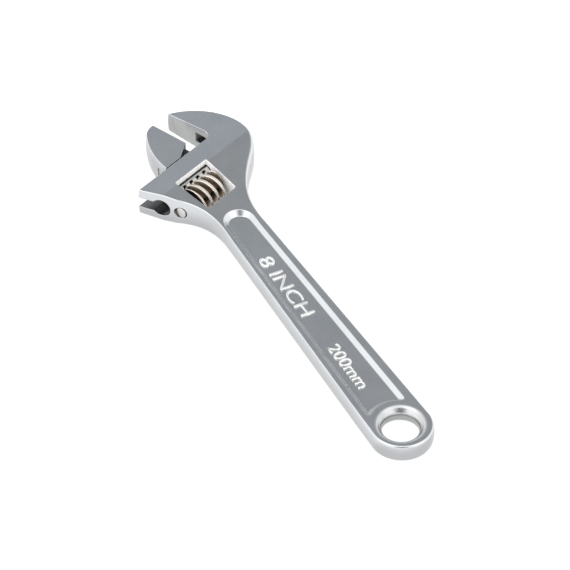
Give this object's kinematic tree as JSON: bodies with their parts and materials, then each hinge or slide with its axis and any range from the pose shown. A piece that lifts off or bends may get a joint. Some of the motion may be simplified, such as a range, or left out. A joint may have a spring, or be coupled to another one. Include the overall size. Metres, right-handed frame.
{
  "type": "adjustable wrench",
  "caption": "Adjustable wrench with a satin-plated forged handle, a fixed jaw, a sliding jaw on a round rack and a worm that a thumb turns.",
  "frame": {"origin": "centre of the hanging hole, half way through the handle's thickness", "axes": "+X along the handle towards the jaws, +Y towards the side on which the rack channel opens, +Z out of the upper face"},
  "size_m": [0.2003, 0.054, 0.013],
  "materials": {
    "plated_body": "satin chrome plate over a blasted forging",
    "plated_jaw": "satin chrome plate",
    "worm_steel": "bright nickel plate, darker in the grooves",
    "pin_steel": "bright turned steel",
    "spring_steel": "drawn spring wire"
  },
  "bodies": {
    "body": {"forged_body": "plated_body", "worm_pin": "pin_steel", "worm_spring": "spring_steel"},
    "jaw": {"movable_jaw": "plated_jaw"},
    "worm": {"worm": "worm_steel"}
  },
  "joints": [
    {"name": "jaw_slide", "type": "slide", "parent": "body", "child": "jaw", "axis": [-0.3827, 0.9239, 0], "range_m": [-0.0097, 0.015]},
    {"name": "worm_spin", "type": "hinge", "parent": "body", "child": "worm", "pos_m": [0.14261, 0.00495, 0], "axis": [-0.3827, 0.9239, 0], "range_deg": [-1460, 944]}
  ],
  "couplings": [
    {"joint": "worm_spin", "follows": "jaw_slide", "rad_per_m": -1698.2}
  ]
}
